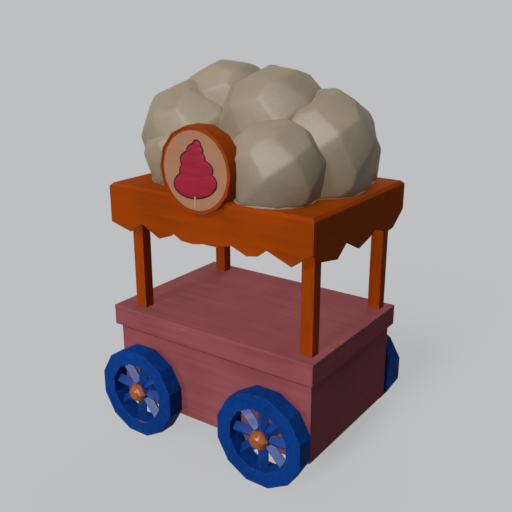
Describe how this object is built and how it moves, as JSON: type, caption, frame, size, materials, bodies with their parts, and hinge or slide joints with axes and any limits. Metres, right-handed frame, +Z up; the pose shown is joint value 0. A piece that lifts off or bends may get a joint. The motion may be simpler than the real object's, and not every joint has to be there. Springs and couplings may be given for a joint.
{
  "type": "cotton candy cart",
  "caption": "Painted timber vending cart on spoked wheels: boxed body with sliding doors, overhanging counter, post canopy with scalloped valances, faceted candy-floss cloud and round sign.",
  "frame": {"origin": "on the ground under the middle of the cart's body", "axes": "+Z up, -Y towards the customers, +Y towards the vendor, +X towards the customers' right-hand end"},
  "size_m": [1.72, 1.53, 2.6369],
  "materials": {
    "blue_paint": "satin",
    "orange_cap": "satin",
    "bare_steel": "satin",
    "bare_timber": "matte",
    "pink_paint": "matte",
    "orange_paint": "satin",
    "cream_shell": "matte",
    "sign_face": "satin"
  },
  "bodies": {
    "cart": {"axles": "bare_steel", "axle_sleeves": "bare_steel", "axle_nuts": "bare_steel", "axle_keepers": "bare_steel", "sign_brackets": "bare_steel", "axle_beds": "bare_timber", "chassis_sills": "bare_timber", "floor_panel": "bare_timber", "counter_bearers": "bare_timber", "door_tracks": "bare_timber", "front_panel": "pink_paint", "left_end_panel": "pink_paint", "right_end_panel": "pink_paint", "back_skirt": "pink_paint", "back_stiles": "pink_paint", "back_head_rail": "pink_paint", "counter_top": "pink_paint", "apron_front": "pink_paint", "apron_back": "pink_paint", "apron_ends": "pink_paint", "post_front_left": "orange_paint", "post_front_right": "orange_paint", "post_back_left": "orange_paint", "post_back_right": "orange_paint", "roof_long_rails": "orange_paint", "roof_cross_rails": "orange_paint", "roof_board": "orange_paint", "valance_front": "orange_paint", "valance_back": "orange_paint", "valance_left": "orange_paint", "valance_right": "orange_paint", "sign_rim": "orange_paint", "topper_base": "cream_shell", "puff_crown": "cream_shell", "puff_right": "cream_shell", "puff_front": "cream_shell", "puff_left": "cream_shell", "puff_upper_left": "cream_shell", "puff_lower_left": "cream_shell", "puff_far_right": "cream_shell", "puff_fillers": "cream_shell", "sign_board": "sign_face"},
    "wheel_front_left": {"wheel_front_left_rim": "blue_paint", "wheel_front_left_spokes": "blue_paint", "wheel_front_left_hub": "blue_paint", "wheel_front_left_cap": "orange_cap"},
    "wheel_front_right": {"wheel_front_right_rim": "blue_paint", "wheel_front_right_spokes": "blue_paint", "wheel_front_right_hub": "blue_paint", "wheel_front_right_cap": "orange_cap"},
    "wheel_back_left": {"wheel_back_left_rim": "blue_paint", "wheel_back_left_spokes": "blue_paint", "wheel_back_left_hub": "blue_paint", "wheel_back_left_cap": "orange_cap"},
    "wheel_back_right": {"wheel_back_right_rim": "blue_paint", "wheel_back_right_spokes": "blue_paint", "wheel_back_right_hub": "blue_paint", "wheel_back_right_cap": "orange_cap"},
    "door_left": {"door_left": "pink_paint"},
    "door_right": {"door_right": "pink_paint"}
  },
  "joints": [
    {"name": "wheel_front_left_spin", "type": "hinge", "parent": "cart", "child": "wheel_front_left", "pos_m": [-0.535, -0.6685, 0.325], "axis": [0, 1, 0], "continuous": true},
    {"name": "wheel_front_right_spin", "type": "hinge", "parent": "cart", "child": "wheel_front_right", "pos_m": [0.535, -0.6685, 0.325], "axis": [0, 1, 0], "continuous": true},
    {"name": "wheel_back_left_spin", "type": "hinge", "parent": "cart", "child": "wheel_back_left", "pos_m": [-0.535, 0.6685, 0.325], "axis": [0, 1, 0], "continuous": true},
    {"name": "wheel_back_right_spin", "type": "hinge", "parent": "cart", "child": "wheel_back_right", "pos_m": [0.535, 0.6685, 0.325], "axis": [0, 1, 0], "continuous": true},
    {"name": "door_left_slide", "type": "slide", "parent": "cart", "child": "door_left", "axis": [1, 0, 0], "range_m": [0, 0.776]},
    {"name": "door_right_slide", "type": "slide", "parent": "cart", "child": "door_right", "axis": [1, 0, 0], "range_m": [-0.776, 0]}
  ]
}
